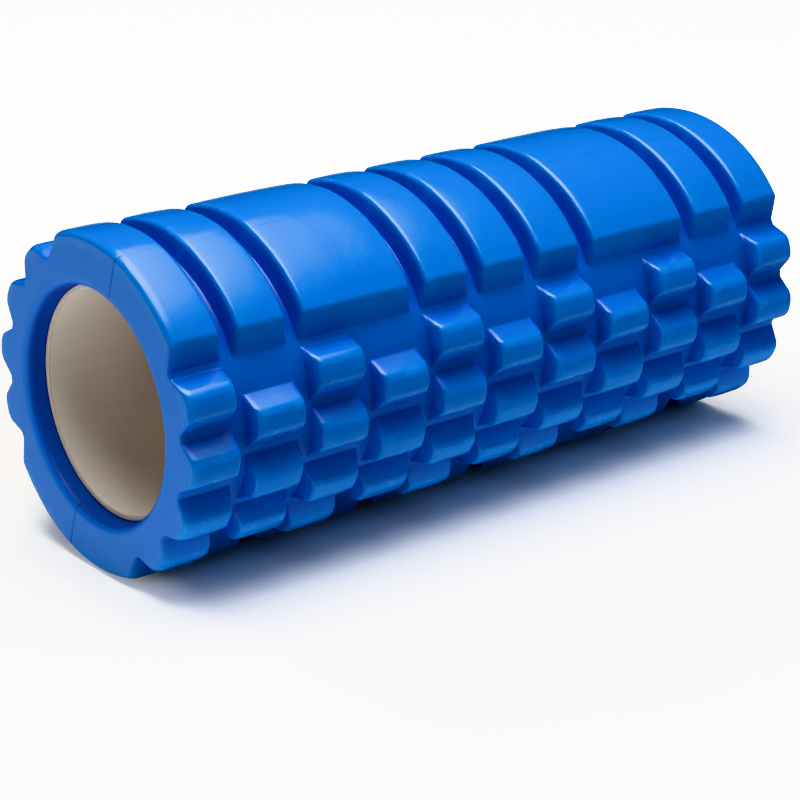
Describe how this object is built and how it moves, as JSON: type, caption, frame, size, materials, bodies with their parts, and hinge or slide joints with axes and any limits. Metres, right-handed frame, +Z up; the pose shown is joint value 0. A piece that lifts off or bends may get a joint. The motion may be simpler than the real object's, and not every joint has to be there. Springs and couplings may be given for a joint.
{
  "type": "foam roller",
  "caption": "Hollow massage roller: rigid plastic tube inside a blue moulded foam sleeve with a tread of small blocks and long pads.",
  "frame": {"origin": "middle of the roller, on its axis", "axes": "+X along the roller's axis, -Y towards the front as it lies on the floor, +Z up"},
  "size_m": [0.33, 0.1398, 0.14],
  "materials": {
    "foam": "satin",
    "core_plastic": "satin",
    "glue": "satin"
  },
  "bodies": {
    "root": {"core_tube": "core_plastic", "foam_shell_front": "foam", "foam_shell_back": "foam", "core_glue_front": "glue", "core_glue_back": "glue", "seam_glue_top": "glue", "seam_glue_bottom": "glue"}
  },
  "joints": []
}
